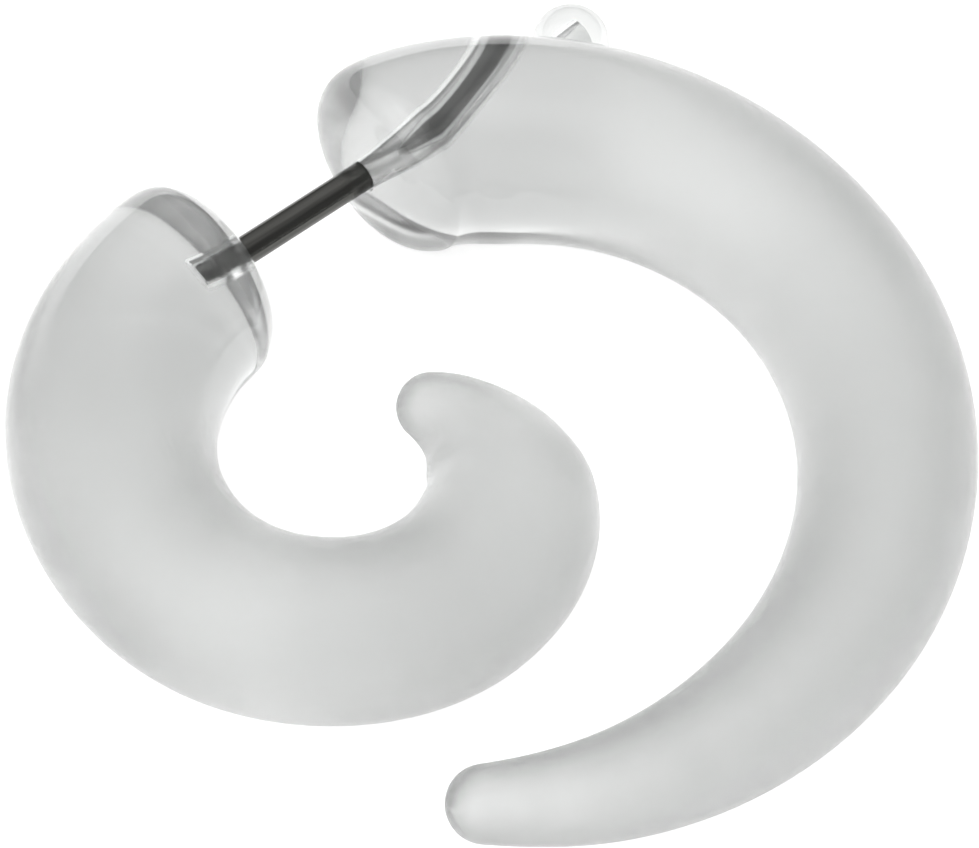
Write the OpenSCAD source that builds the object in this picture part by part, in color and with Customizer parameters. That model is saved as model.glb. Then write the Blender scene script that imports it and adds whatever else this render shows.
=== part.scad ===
// Fake gauge spiral earring: a clear acrylic spiral bar cut in two, on a straight steel post with a screw-on ball.
// Millimetres. The earring lies on its side: +X runs along the post from the front half to the back half, +Z is up,
// and the origin is at the bottom centre of the whole earring's box.

/* [Spiral] */
// Distance from the spiral's centre to the middle of the bar at the cut
cut_distance = 10.4; // [9:0.1:12]
// How many times further out the bar lies after each turn
turn_growth = 2.58; // [2.3:0.01:2.9]
// Direction of the cut seen from the spiral's centre, measured from the post
cut_angle = 77; // [72:1:82]
// Thickness of the round bar at the cut
bar_d = 8.1; // [7.9:0.1:9]
// Distance along the post from the middle of the cut to the front half's flat face
front_trim = 0.15; // [0.05:0.05:0.6]
// Distance along the post from the middle of the cut to the back half's flat face
back_trim = 0.05; // [0.05:0.05:0.6]
// How far the rounded rim of each flat face reaches along the bar
rim_depth = 2; // [1:0.1:2.5]
// How far the rounded rim reaches in from the side of the bar
rim_width = 3.3; // [1:0.1:3.3]

/* [Post and ball] */
// Gap between the two flat faces
lobe_gap = 6.7; // [5:0.1:11]
// Thickness of the post
post_d = 1.15; // [0.8:0.05:1.6]
// Thickness of the post's thinner ends: one is glued in the front half, the other runs through the back half
stub_d = 0.8; // [0.6:0.05:1]
// Distance from the back half's flat face to the ball's centre
ball_reach = 11; // [10:0.1:11.5]
// Diameter of the ball
ball_d = 3.1; // [2.5:0.1:4]

/* [Holes] */
// Diameter of the front half's blind hole
socket_d = 0.95; // [0.9:0.05:1.2]
// Depth of the front half's blind hole
socket_depth = 2.1; // [1.2:0.1:3]
// Diameter of the hole through the back half
hole_d = 1.25; // [1.25:0.05:1.8]
// Diameter of the seat that is cut in the back half for the ball
seat_d = 3.6; // [3.4:0.1:4.4]

/* [Hidden] */

// Columns of the tables of sections
TURN = 0;
INSET = 1;
SHARE = 2;
// A row per section from the cut to the tip: degrees of turn from the cut, inset from the spiral towards its centre
// in millimetres, and thickness as a share of bar_d
front_sections = [
    [0, 0, 1],
    [-40, 0, 0.97],
    [-80, 0, 0.875],
    [-110, 0, 0.825],
    [-145, 0.18, 0.81],
    [-190, 0.14, 0.825],
    [-215, 0.13, 0.815],
    [-235, 0.22, 0.745],
    [-250, 0.52, 0.64],
    [-270, 0.8, 0.47],
    [-296, 1.1, 0.3],
];
back_sections = [
    [0, 0, 1],
    [14, -0.2, 0.985],
    [32, 0, 1],
    [60, 0, 0.955],
    [90, 0, 0.89],
    [120, 0, 0.84],
    [150, 0, 0.755],
    [175, 0, 0.625],
    [195, 0.05, 0.475],
    [211, 0.33, 0.335],
];

sides = 36;
section_step = 5.5;
rim_rings = 7;
// Power of the superellipse that the rim follows
rim_power = 2.5;
tip_rings = 6;
// Over this much turn from the cut, the sections lean from square to the post to square to the bar
lean_turn = 30;
// Clearances
post_end_gap = 0.1;
shoulder_gap = 0.05;
// How far the thick part of the post reaches into the back half
shoulder_reach = 0.3;
ball_hole_clearance = 0.05;
seat_clearance = 0.15;
// How far the post and the ball's hole reach past the ball's centre
post_past_ball = -0.7;
hole_past_ball = 0.4;
round_fn = 64;

rise = atan(ln(turn_growth) / (2 * PI));
// The back half lies this far along the post from where it would close the spiral
spread = lobe_gap - front_trim - back_trim;
cut_point = spiral_point(0, 0);
post_y = cut_point.y;
face_x = cut_point.x - front_trim;
back_face_x = face_x + lobe_gap;
shoulder_x = face_x + shoulder_gap;
ball_x = back_face_x + ball_reach;

// Middle of the bar, seen from the spiral's centre
function spiral_distance(turn) = cut_distance * pow(turn_growth, turn / 360);
function spiral_point(turn, inset) =
    (spiral_distance(turn) - inset) * [cos(cut_angle - turn), sin(cut_angle - turn)];

// Smooth curve through one column of a table, at a given turn
function row_of(table, turn, i = 0) =
    i >= len(table) - 2 || abs(turn) < abs(table[i + 1][TURN]) ? i : row_of(table, turn, i + 1);
function slope(table, column, i) =
    let (a = max(i - 1, 0), b = min(i + 1, len(table) - 1))
    (table[b][column] - table[a][column]) / (table[b][TURN] - table[a][TURN]);
function column_at(table, column, turn) =
    let (
        i = row_of(table, turn),
        span = table[i + 1][TURN] - table[i][TURN],
        t = (turn - table[i][TURN]) / span,
        s = 1 - t
    )
    s * s * (1 + 2 * t) * table[i][column] + t * t * (1 + 2 * s) * table[i + 1][column]
    + s * s * t * span * slope(table, column, i) - t * t * s * span * slope(table, column, i + 1);

// A section of the bar: middle x, middle y, direction of the bar, radius
function section(table, turn) =
    let (
        p = spiral_point(turn, column_at(table, INSET, turn)),
        along = rise + cut_angle - 90 - turn,
        lean = max(0, 1 - abs(turn) / lean_turn)
    )
    [p.x, p.y, along * (1 - lean * lean), bar_d / 2 * column_at(table, SHARE, turn)];

// Sections of one half: the face's rounded rim, the bar, and the round tip. way is -1 in the front half, 1 in the back
function face_distance(way) = way < 0 ? front_trim : back_trim;
function turn_after(step) = step / cut_distance * 180 / PI;
function rim(table, way) =
    [for (k = [0:rim_rings - 1])
        let (
            a = 90 * k / rim_rings,
            inwards = 1 - pow(cos(a), 2 / rim_power),
            outwards = 1 - pow(sin(a), 2 / rim_power),
            step = way * (face_distance(way) + rim_depth * inwards),
            s = section(table, turn_after(step))
        )
        [cut_point.x + step, s.y, s[2] * inwards, s[3] - rim_width * outwards]];
function bar(table, way) =
    let (
        first = way * turn_after(face_distance(way) + rim_depth),
        last = table[len(table) - 1][TURN],
        steps = ceil(abs(last - first) / section_step)
    )
    [for (k = [0:steps]) section(table, first + (last - first) * k / steps)];
function tip(end, before, way) =
    let (
        run = norm([end.x - before.x, end.y - before.y]),
        taper = atan((before[3] - end[3]) / run),
        r = end[3] / cos(taper)
    )
    [for (k = [1:tip_rings])
        let (a = taper + (90 - taper) * k / tip_rings, d = way * r * (sin(a) - sin(taper)))
        [end.x + d * cos(end[2]), end.y + d * sin(end[2]), end[2], r * cos(a)]];
function half_sections(table, way) =
    let (b = bar(table, way), n = len(b))
    concat(rim(table, way), b, tip(b[n - 1], b[n - 2], way));

function ring(s) =
    [for (k = [0:sides - 1])
        let (a = 360 * k / sides)
        [s.x - s[3] * cos(a) * sin(s[2]), s.y + s[3] * cos(a) * cos(s[2]), s[3] * sin(a)]];
// All rings but the last, which has no size, and that one's middle
function sweep_points(rows) =
    let (n = len(rows) - 1)
    concat([for (i = [0:n - 1]) each ring(rows[i])], [[rows[n].x, rows[n].y, 0]]);
function sweep_faces(rings) =
    concat(
        [[for (k = [0:sides - 1]) k]],
        [for (i = [0:rings - 2], k = [0:sides - 1])
            let (a = i * sides, b = a + sides, j = (k + 1) % sides)
            each [[a + k, b + k, b + j], [a + k, b + j, a + j]]],
        [for (k = [0:sides - 1])
            let (a = (rings - 1) * sides)
            [a + k, rings * sides, a + (k + 1) % sides]]
    );
function turned(faces) = [for (f = faces) [for (k = [len(f) - 1:-1:0]) f[k]]];

front_rows = half_sections(front_sections, -1);
back_rows = half_sections(back_sections, 1);
front_points = sweep_points(front_rows);
back_points = sweep_points(back_rows);
bar_z = max([for (s = concat(front_rows, back_rows)) s[3]]);

// Box of the whole earring, seen from the spiral's centre
low_x = min([for (p = front_points) p.x]);
high_x = max([for (p = back_points) p.x + spread]);
low_y = min([for (p = concat(front_points, back_points)) p.y]);
high_y = max(post_y + ball_d / 2, max([for (p = concat(front_points, back_points)) p.y]));
place = [-(low_x + high_x) / 2, -(low_y + high_y) / 2, bar_z];

// A round bar along +X that starts at x
module along_post(d, x, length) {
    translate([x, post_y, 0]) rotate([0, 90, 0]) cylinder(d = d, h = length, $fn = round_fn);
}

module front_half() {
    color([0.9, 0.92, 0.92, 0.5]) translate(place) difference() {
        polyhedron(points = front_points, faces = sweep_faces(len(front_rows) - 1), convexity = 6);
        along_post(socket_d, face_x - socket_depth, socket_depth + 1);
    }
}

module back_half() {
    color([0.9, 0.92, 0.92, 0.5]) translate(place) difference() {
        translate([spread, 0, 0])
            polyhedron(points = back_points, faces = turned(sweep_faces(len(back_rows) - 1)), convexity = 6);
        along_post(hole_d, back_face_x - 1, ball_reach);
        along_post(seat_d, ball_x - ball_d / 2 - seat_clearance, ball_reach);
    }
}

module post() {
    start = face_x - socket_depth + post_end_gap;
    color([0.35, 0.35, 0.34]) translate(place) {
        along_post(stub_d, start, ball_x + post_past_ball - start);
        along_post(post_d, shoulder_x, back_face_x + shoulder_reach - shoulder_x);
    }
}

module ball() {
    color([0.92, 0.94, 0.95, 0.5]) translate(place) difference() {
        translate([ball_x, post_y, 0]) sphere(d = ball_d, $fn = round_fn);
        along_post(stub_d + 2 * ball_hole_clearance, ball_x - ball_d, ball_d + hole_past_ball);
    }
}

front_half();
post();
back_half();
ball();
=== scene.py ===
# Looks of a clear spiral fake gauge earring that lies on a pale floor: two clear halves, a steel post and a
# ball. Metres. +X runs along the post from the front half to the back half, +Z is up.
import math

import bmesh
import bpy
import numpy as np
from mathutils import Matrix, Vector


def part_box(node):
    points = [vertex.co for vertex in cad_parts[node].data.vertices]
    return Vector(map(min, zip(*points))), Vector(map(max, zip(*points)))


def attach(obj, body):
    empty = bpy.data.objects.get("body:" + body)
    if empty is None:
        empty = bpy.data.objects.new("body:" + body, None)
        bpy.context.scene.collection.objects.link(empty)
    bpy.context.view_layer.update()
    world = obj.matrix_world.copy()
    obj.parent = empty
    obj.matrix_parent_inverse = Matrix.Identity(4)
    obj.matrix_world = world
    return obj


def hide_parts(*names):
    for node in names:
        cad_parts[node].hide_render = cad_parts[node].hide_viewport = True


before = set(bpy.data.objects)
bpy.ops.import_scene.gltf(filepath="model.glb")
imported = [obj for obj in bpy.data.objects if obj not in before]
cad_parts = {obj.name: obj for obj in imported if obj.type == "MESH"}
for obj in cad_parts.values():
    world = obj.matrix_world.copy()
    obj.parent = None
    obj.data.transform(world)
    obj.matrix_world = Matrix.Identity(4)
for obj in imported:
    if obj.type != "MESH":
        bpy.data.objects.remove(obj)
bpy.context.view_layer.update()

MM = 0.001

# Driving sizes, as in the part. A trim is the distance from the middle of the cut to a half's face. The rim
# of each face is rounded: its depth is along the bar, its width is inwards from the bar's side, and it
# follows a superellipse of the given power.
CUT_DISTANCE = 10.4 * MM
TURN_GROWTH = 2.58
CUT_ANGLE = 77
BAR_D = 8.1 * MM
FRONT_TRIM = 0.15 * MM
BACK_TRIM = 0.05 * MM
RIM_DEPTH = 2 * MM
RIM_WIDTH = 3.3 * MM
RIM_POWER = 2.5
LOBE_GAP = 6.7 * MM
POST_D = 1.15 * MM
BALL_REACH = 11 * MM
BALL_D = 3.1 * MM
STUB_D = 0.8 * MM
SOCKET_D = 0.95 * MM
SOCKET_DEPTH = 2.1 * MM
SHOULDER_GAP = 0.05 * MM
SHOULDER_REACH = 0.3 * MM
HOLE_D = 1.25 * MM
SEAT_D = 3.6 * MM
SEAT_CLEARANCE = 0.15 * MM
BALL_HOLE_CLEARANCE = 0.05 * MM
POST_END_GAP = 0.1 * MM
POST_PAST_BALL = -0.7 * MM
HOLE_PAST_BALL = 0.4 * MM

# Columns of the tables of sections: degrees of turn from the cut, inset from the spiral in millimetres, and
# thickness as a share of BAR_D
TURN = 0
INSET = 1
SHARE = 2
FRONT_SECTIONS = [
    (0, 0, 1),
    (-40, 0, 0.97),
    (-80, 0, 0.875),
    (-110, 0, 0.825),
    (-145, 0.18, 0.81),
    (-190, 0.14, 0.825),
    (-215, 0.13, 0.815),
    (-235, 0.22, 0.745),
    (-250, 0.52, 0.64),
    (-270, 0.8, 0.47),
    (-296, 1.1, 0.3),
]
BACK_SECTIONS = [
    (0, 0, 1),
    (14, -0.2, 0.985),
    (32, 0, 1),
    (60, 0, 0.955),
    (90, 0, 0.89),
    (120, 0, 0.84),
    (150, 0, 0.755),
    (175, 0, 0.625),
    (195, 0.05, 0.475),
    (211, 0.33, 0.335),
]

# Over this much turn from the cut, the sections lean from square to the post to square to the bar
LEAN_TURN = 30

# Fineness of the meshes
SIDES = 128
SECTION_STEP = 1.4
RIM_RINGS = 32
TIP_RINGS = 24
POST_SIDES = 64
POST_RINGS = 40
STUB_END_STEP = 15
SOCKET_RINGS = 12
FACE_RINGS = 8
CUTTER_SIDES = 96
BALL_SIDES = 96
BALL_RINGS = 48
BALL_HOLE_RINGS = 10

# Small details: the bevel of edges, the rounding of the post's end in the front half, and the screw thread
BEVEL = 0.05 * MM
STUB_ROUND = 0.3 * MM
THREAD_PITCH = 0.25 * MM
THREAD_DEPTH = 0.04 * MM
THREAD_LENGTH = 1.1 * MM
THREAD_RUN_OUT = 0.3 * MM
STEPS_PER_PITCH = 8

# Most of a noise lies between these values
NOISE_RANGE = (0.3, 0.7)
ACRYLIC_IOR = 1.49
ACRYLIC_TRANSMISSION = 0.95
# The acrylic's and the ball's grey base colours are painted shade: the clear acrylic is greyed to stand in
# for the dimmer surroundings seen through it
ACRYLIC_PAINTED_SHADE = (0.62, 0.628, 0.623)
BALL_PAINTED_SHADE = (0.75, 0.758, 0.753)
# Brightness of the acrylic's darkest clouds as a share of its base colour (painted shade), and the clouds'
# and the haze's fineness
CLOUD_SHADE = 0.96
CLOUD_SCALE = 150
HAZE_SCALE = 900
HAZE_ROUGHNESS = (0.08, 0.1)
# Where the polishing lines begin and where they are at their deepest, along the bar from its face's middle
LINES_BEGIN = (10 * MM, 18 * MM)
LINES_DEPTH = 0.01 * MM
LINES_STRETCH = (60, 300, 1)
LINES_SCALE = 5
# The steel's colours are painted shade: the steel is made very dark to stand in for the dark surroundings it
# reflects, and it varies between them at random along the drawn lines
STEEL_PAINTED_SHADE_LOW = (0.075, 0.075, 0.07)
STEEL_PAINTED_SHADE_HIGH = (0.11, 0.11, 0.104)
STEEL_ROUGHNESS = (0.14, 0.24)
DRAWN_STRETCH = (300, 9000, 9000)
DRAWN_DEPTH = 0.002 * MM
FLOOR_ROUGHNESS = 0.9
FLOOR_SCALE = 40
FLOOR_DARK = (0.91, 0.91, 0.91)
FLOOR_LIGHT = (0.93, 0.93, 0.93)

# The camera, fitted to the photograph
CAMERA_AZIMUTH = -49.48
CAMERA_ELEVATION = 54.6
CAMERA_ROLL = 8.63
CAMERA_TARGET = (4.894 * MM, -1.484 * MM)
CAMERA_DISTANCE = 118.1 * MM
CAMERA_LENS = 119.6
SENSOR_WIDTH = 36

# Brightness of the room, and azimuth, elevation and brightness of its soft lamps
ROOM = 0.31
LAMPS = [
    (180, 12, 1),
    (225, 12, 0.4),
    (135, 12, 0.2),
    (180, 42, 1.5),
    (135, 42, 1.05),
    (45, 42, 0.5),
    (225, 42, 0.25),
    (165, 75, 1.2),
    (0, 75, 0.35),
]
# Half angles of a lamp's bright middle and of the whole lamp
LAMP_MIDDLE = 5
LAMP_WHOLE = 38

# The floor is a light table
FLOOR_GLOW = 0.55
FLOOR_HALF = 2

# Light runs along inside the bar, reflected many times
LIGHT_BOUNCES = 12

RISE = math.degrees(math.atan(math.log(TURN_GROWTH) / (2 * math.pi)))
SPREAD = LOBE_GAP - FRONT_TRIM - BACK_TRIM


# Places, taken from the frame
def axis_of_post():
    low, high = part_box("post")
    return (low.y + high.y) / 2, (low.z + high.z) / 2, low.x


POST_Y, POST_Z, POST_START = axis_of_post()
FACE_X = POST_START + SOCKET_DEPTH - POST_END_GAP
SHOULDER_X = FACE_X + SHOULDER_GAP
BACK_FACE_X = FACE_X + LOBE_GAP
BALL_X = BACK_FACE_X + BALL_REACH
POST_END = BALL_X + POST_PAST_BALL
CUT_POINT = CUT_DISTANCE * np.array([math.cos(math.radians(CUT_ANGLE)), math.sin(math.radians(CUT_ANGLE))])
SPIRAL_CENTRE = np.array([FACE_X + FRONT_TRIM, POST_Y]) - CUT_POINT


# The spiral bar
def slope(table, column, i):
    a, b = max(i - 1, 0), min(i + 1, len(table) - 1)
    return (table[b][column] - table[a][column]) / (table[b][TURN] - table[a][TURN])


def column_at(table, column, turn):
    """Smooth curve through one column of a table, at a given turn."""
    i = 0
    while i < len(table) - 2 and abs(turn) >= abs(table[i + 1][TURN]):
        i += 1
    span = table[i + 1][TURN] - table[i][TURN]
    t = (turn - table[i][TURN]) / span
    s = 1 - t
    ends = s * s * (1 + 2 * t) * table[i][column] + t * t * (1 + 2 * s) * table[i + 1][column]
    return ends + s * s * t * span * slope(table, column, i) - t * t * s * span * slope(table, column, i + 1)


def face_distance(way):
    """From the middle of the cut to a half's face. way is -1 in the front half and 1 in the back half."""
    return FRONT_TRIM if way < 0 else BACK_TRIM


def bar_turn(way):
    """The turn from the cut at which the bar has its full thickness."""
    return math.degrees((face_distance(way) + RIM_DEPTH) / CUT_DISTANCE)


def section(table, turn, shift):
    """A section of the bar: middle x and y, direction of the bar in degrees, radius."""
    distance = CUT_DISTANCE * TURN_GROWTH ** (turn / 360) - column_at(table, INSET, turn) * MM
    angle = math.radians(CUT_ANGLE - turn)
    x = SPIRAL_CENTRE[0] + shift + distance * math.cos(angle)
    y = SPIRAL_CENTRE[1] + distance * math.sin(angle)
    along = RISE + CUT_ANGLE - 90 - turn
    lean = max(0, 1 - abs(turn) / LEAN_TURN)
    return x, y, along * (1 - lean * lean), BAR_D / 2 * column_at(table, SHARE, turn)


def rim_sections(table, way, shift):
    """The wide rounded rim of a half's face."""
    rows = []
    for k in range(RIM_RINGS):
        a = math.radians(90 * k / RIM_RINGS)
        inwards = 1 - math.cos(a) ** (2 / RIM_POWER)
        outwards = 1 - math.sin(a) ** (2 / RIM_POWER)
        step = way * (face_distance(way) + RIM_DEPTH * inwards)
        y, heading, r = section(table, math.degrees(step / CUT_DISTANCE), shift)[1:]
        x = SPIRAL_CENTRE[0] + shift + CUT_POINT[0] + step
        rows.append((x, y, heading * inwards, r - RIM_WIDTH * outwards))
    return rows


def bar_sections(table, way, shift):
    first, last = way * bar_turn(way), table[-1][TURN]
    steps = math.ceil(abs(last - first) / SECTION_STEP)
    return [section(table, first + (last - first) * k / steps, shift) for k in range(steps + 1)]


def tip_sections(end, before, way):
    """The round tip past the last section of the bar."""
    taper = math.atan((before[3] - end[3]) / math.hypot(end[0] - before[0], end[1] - before[1]))
    r = end[3] / math.cos(taper)
    rows = []
    for k in range(1, TIP_RINGS + 1):
        a = taper + (math.pi / 2 - taper) * k / TIP_RINGS
        d = way * r * (math.sin(a) - math.sin(taper))
        heading = math.radians(end[2])
        rows.append((end[0] + d * math.cos(heading), end[1] + d * math.sin(heading), end[2], r * math.cos(a)))
    return rows


def half_sections(table, way, shift):
    bar = bar_sections(table, way, shift)
    return rim_sections(table, way, shift) + bar + tip_sections(bar[-1], bar[-2], way)


# Meshes
def no_groove(x, angle):
    return 0


def sweep(name, rows, sides=SIDES, groove=no_groove):
    """A closed surface through round sections, from the first row's middle to the last row's middle."""
    angles = np.linspace(0, 2 * math.pi, sides, endpoint=False)
    verts = [(rows[0][0], rows[0][1], POST_Z)]
    for x, y, heading, r in rows[1:-1]:
        h = math.radians(heading)
        for a in angles:
            d = r - groove(x, a)
            across = d * math.cos(a)
            verts.append((x - across * math.sin(h), y + across * math.cos(h), POST_Z + d * math.sin(a)))
    verts.append((rows[-1][0], rows[-1][1], POST_Z))
    last = len(verts) - 1
    rings = len(rows) - 2
    faces = [(0, 1 + k, 1 + (k + 1) % sides) for k in range(sides)]
    for i in range(rings - 1):
        a = 1 + i * sides
        for k in range(sides):
            j = (k + 1) % sides
            faces.append((a + k, a + sides + k, a + sides + j, a + j))
    a = 1 + (rings - 1) * sides
    faces += [(a + k, last, a + (k + 1) % sides) for k in range(sides)]
    obj = mesh_object(name, verts, faces)
    map_along(obj, rows, sides)
    turn_faces_outwards(obj)
    return obj


def map_along(obj, rows, sides):
    """A map with the way along the bar across, in metres, and the way round it up, from 0 to 1."""
    run = [0]
    for a, b in zip(rows, rows[1:]):
        run.append(run[-1] + math.hypot(b[0] - a[0], b[1] - a[1], b[3] - a[3]))
    layer = obj.data.uv_layers.new(name="along_bar")
    for polygon in obj.data.polygons:
        corners = [divmod(v - 1, sides) for v in polygon.vertices]
        around = [k for ring, k in corners if 0 <= ring < len(rows) - 2]
        seam = max(around) - min(around) > 1
        for loop, (ring, k) in zip(polygon.loop_indices, corners):
            place = min(max(ring + 1, 0), len(rows) - 1)
            turned = sides if seam and k == 0 else k
            if not 0 <= ring < len(rows) - 2:
                turned = min(around)
            layer.data[loop].uv = (run[place], turned / sides)


def mesh_object(name, verts, faces):
    mesh = bpy.data.meshes.new(name)
    mesh.from_pydata([tuple(map(float, v)) for v in verts], [], faces)
    obj = bpy.data.objects.new(name, mesh)
    bpy.context.scene.collection.objects.link(obj)
    return obj


def turn_faces_outwards(obj):
    bm = bmesh.new()
    bm.from_mesh(obj.data)
    bmesh.ops.recalc_face_normals(bm, faces=bm.faces)
    bm.to_mesh(obj.data)
    bm.free()


def smooth(obj, angle=35):
    obj.data.shade_smooth()
    obj.data.set_sharp_from_angle(angle=math.radians(angle))


def axis_rows(profile):
    """Rows on the post's axis, from pairs of x and radius."""
    return [(x, POST_Y, 0, r) for x, r in profile]


def cut_away(obj, cutter):
    modifier = obj.modifiers.new("cut", "BOOLEAN")
    modifier.operation = "DIFFERENCE"
    modifier.solver = "EXACT"
    modifier.object = cutter
    depsgraph = bpy.context.evaluated_depsgraph_get()
    cut = bpy.data.meshes.new_from_object(obj.evaluated_get(depsgraph))
    obj.modifiers.clear()
    obj.data = cut
    bpy.data.objects.remove(cutter)


def build_front_half():
    hole = SOCKET_D / 2
    bottom = FACE_X - SOCKET_DEPTH
    outer = half_sections(FRONT_SECTIONS, -1, 0)
    face_r = outer[0][3]
    profile = [(bottom, 0), (bottom, hole - BEVEL)]
    profile += [(x, hole) for x in np.linspace(bottom + BEVEL, FACE_X - BEVEL, SOCKET_RINGS)]
    profile += [(FACE_X, r) for r in np.linspace(hole + BEVEL, face_r, FACE_RINGS, endpoint=False)]
    front = sweep("front_half_clear", axis_rows(profile) + outer)
    smooth(front)
    return front


def build_back_half():
    outer = half_sections(BACK_SECTIONS, 1, SPREAD)
    face_r = outer[0][3]
    profile = [(BACK_FACE_X, face_r * k / FACE_RINGS) for k in range(FACE_RINGS)]
    back = sweep("back_half_clear", axis_rows(profile) + outer)
    hole = HOLE_D / 2
    seat = SEAT_D / 2
    seat_x = BALL_X - BALL_D / 2 - SEAT_CLEARANCE
    far_x = BALL_X + BALL_D
    near_x = BACK_FACE_X - 1 * MM
    cutter_profile = [
        (near_x, 0),
        (near_x, hole + BEVEL),
        (BACK_FACE_X, hole + BEVEL),
        (BACK_FACE_X + BEVEL, hole),
        (seat_x - BEVEL, hole),
        (seat_x, hole + BEVEL),
        (seat_x, seat - BEVEL),
        (seat_x + BEVEL, seat),
        (far_x, seat),
        (far_x, 0),
    ]
    cut_away(back, sweep("cutter", axis_rows(cutter_profile), CUTTER_SIDES))
    smooth(back)
    return back


def thread_groove(x, angle):
    """How deep the screw thread is cut at a place on the post: on the glued stub and on the ball's end."""
    for first, last in ((POST_START, SHOULDER_X), (POST_END - THREAD_LENGTH, POST_END)):
        if first < x < last:
            share = ((x - first) / THREAD_PITCH - angle / (2 * math.pi)) % 1
            run_out = min(1, (x - first) / THREAD_RUN_OUT, (last - x) / THREAD_RUN_OUT)
            return THREAD_DEPTH * (1 - abs(2 * share - 1)) * run_out
    return 0


def build_post():
    """A thin end for the front half, the thick stretch between the halves, and a thin end for the ball."""
    r = POST_D / 2
    stub = STUB_D / 2
    step = THREAD_PITCH / STEPS_PER_PITCH
    far_shoulder = BACK_FACE_X + SHOULDER_REACH
    thread_x = POST_END - THREAD_LENGTH
    profile = [(POST_START + STUB_ROUND * (1 - math.sin(a)), stub - STUB_ROUND + STUB_ROUND * math.cos(a))
               for a in np.radians(range(90, 0, -STUB_END_STEP))]
    profile = [(POST_START, 0)] + profile
    profile += [(x, stub) for x in np.arange(POST_START + STUB_ROUND, SHOULDER_X, step)]
    profile += [(SHOULDER_X, stub), (SHOULDER_X, r - BEVEL)]
    profile += [(x, r) for x in np.linspace(SHOULDER_X + BEVEL, far_shoulder - BEVEL, POST_RINGS)]
    profile += [(far_shoulder, r - BEVEL), (far_shoulder, stub)]
    profile += [(x, stub) for x in np.linspace(far_shoulder + BEVEL, thread_x, POST_RINGS)]
    profile += [(x, stub) for x in np.arange(thread_x + step, POST_END - BEVEL, step)]
    profile += [(POST_END, stub - 2 * BEVEL), (POST_END, 0)]
    post = sweep("post_steel", axis_rows(profile), POST_SIDES, thread_groove)
    smooth(post)
    return post


def build_ball():
    r = BALL_D / 2
    hole = STUB_D / 2 + BALL_HOLE_CLEARANCE
    bottom = BALL_X + HOLE_PAST_BALL
    mouth = BALL_X - math.sqrt(r * r - hole * hole)
    profile = [(bottom, 0), (bottom, hole * 0.5), (bottom, hole)]
    profile += [(x, hole) for x in np.linspace(bottom, mouth, BALL_HOLE_RINGS + 1)[1:]]
    start = math.asin(hole / r)
    for k in range(1, BALL_RINGS + 1):
        a = start + (math.pi - start) * k / BALL_RINGS
        profile.append((BALL_X - r * math.cos(a), r * math.sin(a)))
    profile[-1] = (BALL_X + r, 0)
    ball = sweep("ball_clear", axis_rows(profile), BALL_SIDES)
    smooth(ball)
    return ball


# Materials
def new_material(name):
    material = bpy.data.materials.new(name)
    material.use_nodes = True
    nodes = material.node_tree.nodes
    links = material.node_tree.links
    shader = next(n for n in nodes if n.type == "BSDF_PRINCIPLED")
    return material, nodes, links, shader


def noise(nodes, links, vector, scale, detail=1):
    texture = nodes.new("ShaderNodeTexNoise")
    texture.inputs["Scale"].default_value = scale
    texture.inputs["Detail"].default_value = detail
    links.new(vector, texture.inputs["Vector"])
    return texture.outputs["Fac"]


def spread(nodes, links, value, over, within=NOISE_RANGE):
    """A value that lies within one range, spread over another."""
    ranged = nodes.new("ShaderNodeMapRange")
    ranged.inputs["From Min"].default_value, ranged.inputs["From Max"].default_value = within
    ranged.inputs["To Min"].default_value, ranged.inputs["To Max"].default_value = over
    links.new(value, ranged.inputs["Value"])
    return ranged.outputs[0]


def stretched(nodes, links, vector, scale):
    mapping = nodes.new("ShaderNodeMapping")
    mapping.inputs["Scale"].default_value = scale
    links.new(vector, mapping.inputs["Vector"])
    return mapping.outputs[0]


def bump(nodes, links, height, depth, shader):
    node = nodes.new("ShaderNodeBump")
    node.inputs["Distance"].default_value = depth
    links.new(height, node.inputs["Height"])
    links.new(node.outputs[0], shader.inputs["Normal"])


def tinted(nodes, links, value, low, high, shader):
    ramp = nodes.new("ShaderNodeValToRGB")
    for stop, place, base_colour in zip(ramp.color_ramp.elements, NOISE_RANGE, (low, high)):
        stop.position = place
        stop.color = base_colour + (1,)
    links.new(value, ramp.inputs["Fac"])
    links.new(ramp.outputs["Color"], shader.inputs["Base Color"])


def clear_acrylic(name, base_colour):
    """Clear and faintly cloudy, with fine polishing lines along the bar that begin some way from its face."""
    material, nodes, links, shader = new_material(name)
    shader.inputs["IOR"].default_value = ACRYLIC_IOR
    shader.inputs["Transmission Weight"].default_value = ACRYLIC_TRANSMISSION
    place = nodes.new("ShaderNodeTexCoord").outputs["Object"]
    along = nodes.new("ShaderNodeUVMap")
    along.uv_map = "along_bar"
    clouds = noise(nodes, links, place, CLOUD_SCALE)
    # The base colour is painted shade, a grey that stands in for the dimmer surroundings seen through the
    # clear acrylic; the clouds vary it at random
    darker = tuple(v * CLOUD_SHADE for v in base_colour)
    tinted(nodes, links, clouds, darker, base_colour, shader)
    haze = noise(nodes, links, place, HAZE_SCALE)
    links.new(spread(nodes, links, haze, HAZE_ROUGHNESS), shader.inputs["Roughness"])
    lines = noise(nodes, links, stretched(nodes, links, along.outputs[0], LINES_STRETCH), LINES_SCALE)
    parts = nodes.new("ShaderNodeSeparateXYZ")
    links.new(along.outputs[0], parts.inputs[0])
    faded = nodes.new("ShaderNodeMath")
    faded.operation = "MULTIPLY"
    links.new(lines, faded.inputs[0])
    links.new(spread(nodes, links, parts.outputs["X"], (0, 1), LINES_BEGIN), faded.inputs[1])
    bump(nodes, links, faded.outputs[0], LINES_DEPTH, shader)
    return material


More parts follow.
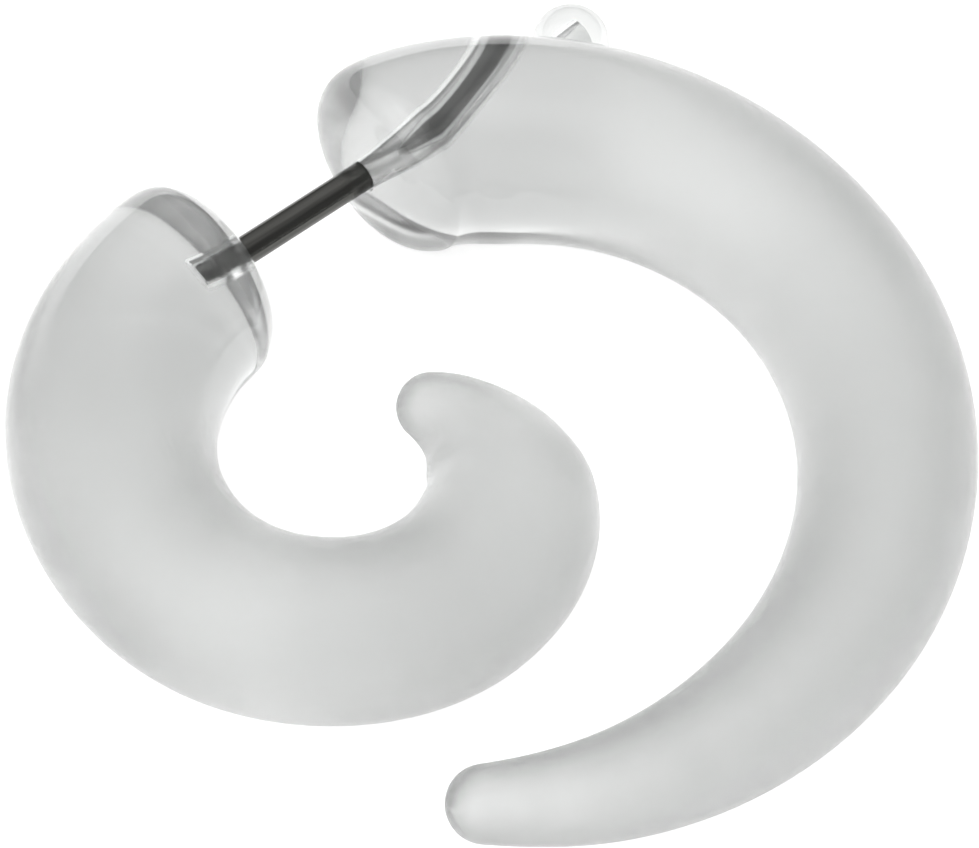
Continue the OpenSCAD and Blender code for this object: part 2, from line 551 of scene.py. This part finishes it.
def shade_painted_steel():
    """Drawn wire, with fine lines along it."""
    material, nodes, links, shader = new_material("shade_painted_steel")
    shader.inputs["Metallic"].default_value = 1
    place = nodes.new("ShaderNodeTexCoord").outputs["Object"]
    lines = noise(nodes, links, stretched(nodes, links, place, DRAWN_STRETCH), 1, 3)
    # The steel's very dark colour is painted shade, standing in for the dark surroundings it reflects
    tinted(nodes, links, lines, STEEL_PAINTED_SHADE_LOW, STEEL_PAINTED_SHADE_HIGH, shader)
    links.new(spread(nodes, links, lines, STEEL_ROUGHNESS), shader.inputs["Roughness"])
    bump(nodes, links, lines, DRAWN_DEPTH, shader)
    return material


def paint(obj, material):
    obj.data.materials.clear()
    obj.data.materials.append(material)


# The object
def dress(obj, node, body, material):
    paint(obj, material)
    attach(obj, body)
    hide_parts(node)


# The scene around it
def make_camera():
    a, e, q = (math.radians(v) for v in (-CAMERA_AZIMUTH, CAMERA_ELEVATION, CAMERA_ROLL))
    look = Vector((math.sin(a) * math.cos(e), math.cos(a) * math.cos(e), -math.sin(e)))
    level = Vector((math.cos(a), -math.sin(a), 0))
    above = level.cross(look)
    right = level * math.cos(q) + above * math.sin(q)
    up = above * math.cos(q) - level * math.sin(q)
    target = Vector((SPIRAL_CENTRE[0] + CAMERA_TARGET[0], SPIRAL_CENTRE[1] + CAMERA_TARGET[1], POST_Z))
    data = bpy.data.cameras.new("camera")
    data.lens = CAMERA_LENS
    data.sensor_width = SENSOR_WIDTH
    data.clip_start = 0.005
    data.clip_end = 10
    camera = bpy.data.objects.new("camera", data)
    bpy.context.scene.collection.objects.link(camera)
    turn = Matrix((right, up, -look)).transposed()
    camera.matrix_world = Matrix.Translation(target - look * CAMERA_DISTANCE) @ turn.to_4x4()
    bpy.context.scene.camera = camera


def make_floor():
    corners = [(FLOOR_HALF * x, FLOOR_HALF * y, 0) for x, y in ((-1, -1), (1, -1), (1, 1), (-1, 1))]
    floor = mesh_object("floor", corners, [(0, 1, 2, 3)])
    material, nodes, links, shader = new_material("floor_white")
    shader.inputs["Roughness"].default_value = FLOOR_ROUGHNESS
    shader.inputs["Emission Color"].default_value = (1, 1, 1, 1)
    shader.inputs["Emission Strength"].default_value = FLOOR_GLOW
    place = nodes.new("ShaderNodeTexCoord").outputs["Object"]
    tinted(nodes, links, noise(nodes, links, place, FLOOR_SCALE, 2), FLOOR_DARK, FLOOR_LIGHT, shader)
    paint(floor, material)


def towards(azimuth, elevation):
    """A direction of length 1. Azimuth is from +X towards +Y."""
    a, e = math.radians(azimuth), math.radians(elevation)
    return (math.cos(a) * math.cos(e), math.sin(a) * math.cos(e), math.sin(e))


def make_light():
    world = bpy.data.worlds.new("studio")
    world.use_nodes = True
    nodes = world.node_tree.nodes
    links = world.node_tree.links
    background = next(n for n in nodes if n.type == "BACKGROUND")
    background.inputs["Color"].default_value = (1, 1, 1, 1)
    place = nodes.new("ShaderNodeTexCoord")
    total = nodes.new("ShaderNodeValue").outputs[0]
    total.default_value = ROOM
    for azimuth, elevation, brightness in LAMPS:
        along = nodes.new("ShaderNodeVectorMath")
        along.operation = "DOT_PRODUCT"
        along.inputs[1].default_value = towards(azimuth, elevation)
        lamp = nodes.new("ShaderNodeMapRange")
        lamp.interpolation_type = "SMOOTHSTEP"
        lamp.inputs["From Min"].default_value = math.cos(math.radians(LAMP_WHOLE))
        lamp.inputs["From Max"].default_value = math.cos(math.radians(LAMP_MIDDLE))
        lamp.inputs["To Max"].default_value = brightness
        added = nodes.new("ShaderNodeMath")
        links.new(place.outputs["Generated"], along.inputs[0])
        links.new(along.outputs["Value"], lamp.inputs["Value"])
        links.new(lamp.outputs[0], added.inputs[0])
        links.new(total, added.inputs[1])
        total = added.outputs[0]
    links.new(total, background.inputs["Strength"])
    bpy.context.scene.world = world


make_camera()
acrylic = clear_acrylic("clear_acrylic", ACRYLIC_PAINTED_SHADE)
dress(build_front_half(), "front_half", "front", acrylic)
dress(build_post(), "post", "front", shade_painted_steel())
dress(build_back_half(), "back_half", "back", acrylic)
dress(build_ball(), "ball", "ball", clear_acrylic("clear_ball", BALL_PAINTED_SHADE))
make_floor()
make_light()
bpy.context.scene.view_settings.view_transform = "Standard"
bpy.context.scene.cycles.max_bounces = LIGHT_BOUNCES
bpy.context.scene.cycles.transmission_bounces = LIGHT_BOUNCES
bpy.context.scene.cycles.glossy_bounces = LIGHT_BOUNCES
